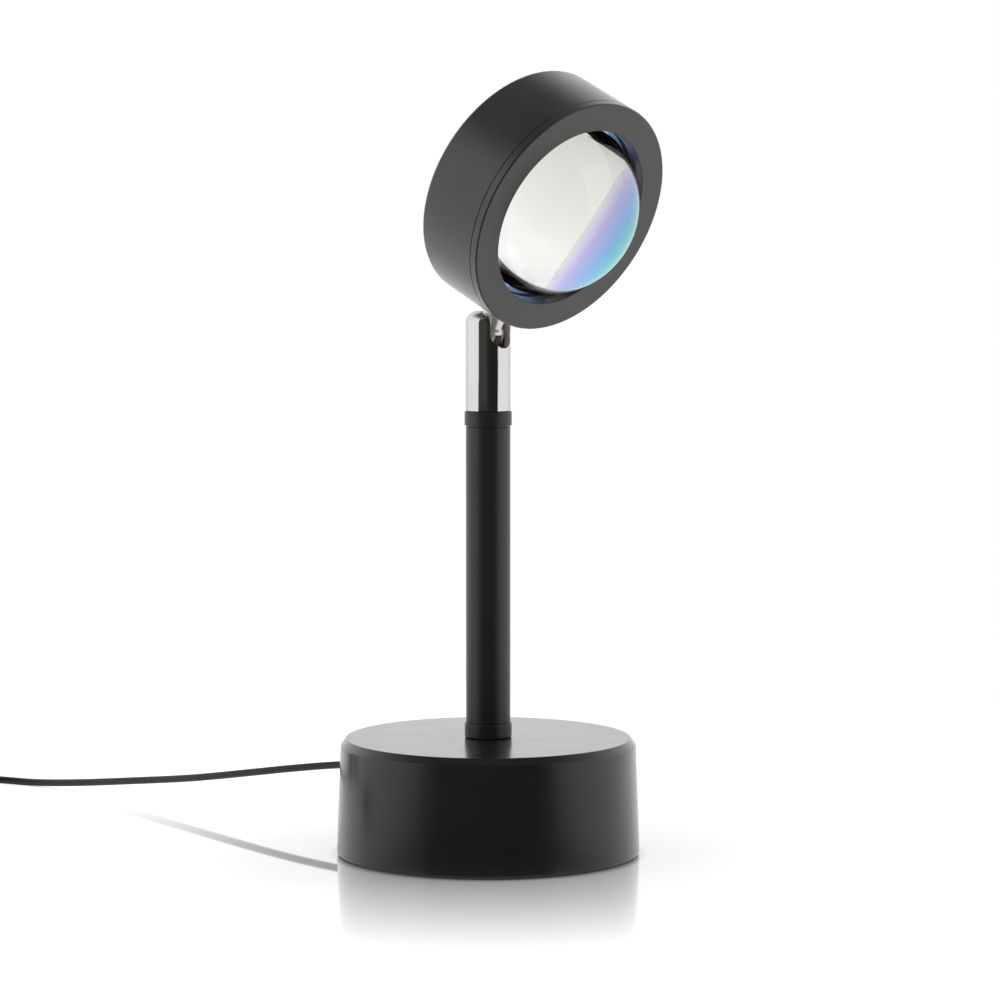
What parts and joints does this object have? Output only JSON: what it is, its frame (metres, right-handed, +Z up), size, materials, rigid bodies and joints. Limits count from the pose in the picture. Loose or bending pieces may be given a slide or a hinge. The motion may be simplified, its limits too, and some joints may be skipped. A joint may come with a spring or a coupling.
{
  "type": "projection lamp",
  "caption": "Sunset projection lamp: weighted round base, slim pole, slotted chrome ball knuckle and a drum head with a tall domed lens, on a USB lead with a hand switch.",
  "frame": {"origin": "centre of the foot pad's underside, on the table", "axes": "+Z up the pole; -Y the front, with the head turned 17.4 degrees from it towards +X; the lead leaves the base at +Y"},
  "size_m": [0.216, 0.3085, 0.2562],
  "materials": {
    "base_shell": "satin black moulded plastic",
    "pole_paint": "satin black paint",
    "head_shell": "matte charcoal moulded plastic",
    "knuckle_chrome": "polished",
    "dome_glass": "clear polished",
    "filter_glass": "dichroic coating",
    "ballast_iron": "as cast",
    "plate_steel": "zinc plated sheet",
    "zinc_hardware": "zinc plated",
    "spring_steel": "bright, hardened",
    "bearing_brass": "turned",
    "contact_gold": "gold plated",
    "heat_sink_metal": "plain",
    "board_white": "white solder mask on an aluminium core",
    "emitter_yellow": "silicone dome",
    "inner_black": "matte",
    "saddle_rubber": "matte",
    "inner_lead": "soft grey sleeve",
    "lead_black": "soft satin sleeve",
    "foot_foam": "closed-cell foam",
    "switch_black": "fine grain",
    "switch_inner": "moulded",
    "plug_metal": "bright nickel plate",
    "plug_white": "moulded"
  },
  "bodies": {
    "base": {"base_housing": "base_shell", "bottom_plate": "plate_steel", "ballast_disc": "ballast_iron", "foot_pad": "foot_foam", "plate_screws": "zinc_hardware", "strain_relief": "lead_black", "cable_tie": "inner_black", "stem_washer": "zinc_hardware", "stem_nut": "zinc_hardware", "threaded_tube": "zinc_hardware", "lower_collar": "pole_paint", "pole_tube": "pole_paint", "upper_collar": "pole_paint", "swivel_bolt": "zinc_hardware", "pole_lead": "inner_lead", "usb_lead_run": "lead_black", "usb_lead_coil": "lead_black", "usb_lead_tail": "lead_black", "usb_lead_end": "lead_black", "switch_case_bottom": "switch_black", "switch_case_top": "switch_black", "switch_block": "switch_inner", "switch_screws": "zinc_hardware", "plug_grip": "switch_black", "plug_shell": "plug_metal", "plug_tongue": "plug_white", "plug_contacts": "contact_gold"},
    "swivel": {"knuckle_socket": "knuckle_chrome", "swivel_bush": "bearing_brass", "swivel_washer": "spring_steel", "seat_spring": "spring_steel", "friction_seat": "spring_steel"},
    "head": {"ball_neck": "knuckle_chrome", "saddle_washer": "saddle_rubber", "neck_washer": "zinc_hardware", "neck_nut": "zinc_hardware", "head_housing": "head_shell", "front_bezel": "head_shell", "lens": "dome_glass", "colour_filter": "filter_glass", "retaining_ring": "inner_black", "heat_sink": "heat_sink_metal", "heat_sink_screws": "zinc_hardware", "light_board": "board_white", "board_screws": "zinc_hardware", "light_emitter": "emitter_yellow", "light_hood": "inner_black", "head_lead": "inner_lead"},
    "button": {"switch_button": "switch_black"}
  },
  "joints": [
    {"name": "head_pan", "type": "hinge", "parent": "base", "child": "swivel", "pos_m": [0, 0, 0.1463], "axis": [0, 0, 1], "range_deg": [-170, 170]},
    {"name": "head_tilt", "type": "hinge", "parent": "swivel", "child": "head", "pos_m": [0, 0, 0.1716], "axis": [0.9542, 0.299, 0], "range_deg": [-25, 64]},
    {"name": "switch_press", "type": "slide", "parent": "base", "child": "button", "axis": [0, 0, -1], "range_m": [0, 0.0008], "stiffness_N_per_m": 1500, "springref_m": -0.0004}
  ]
}
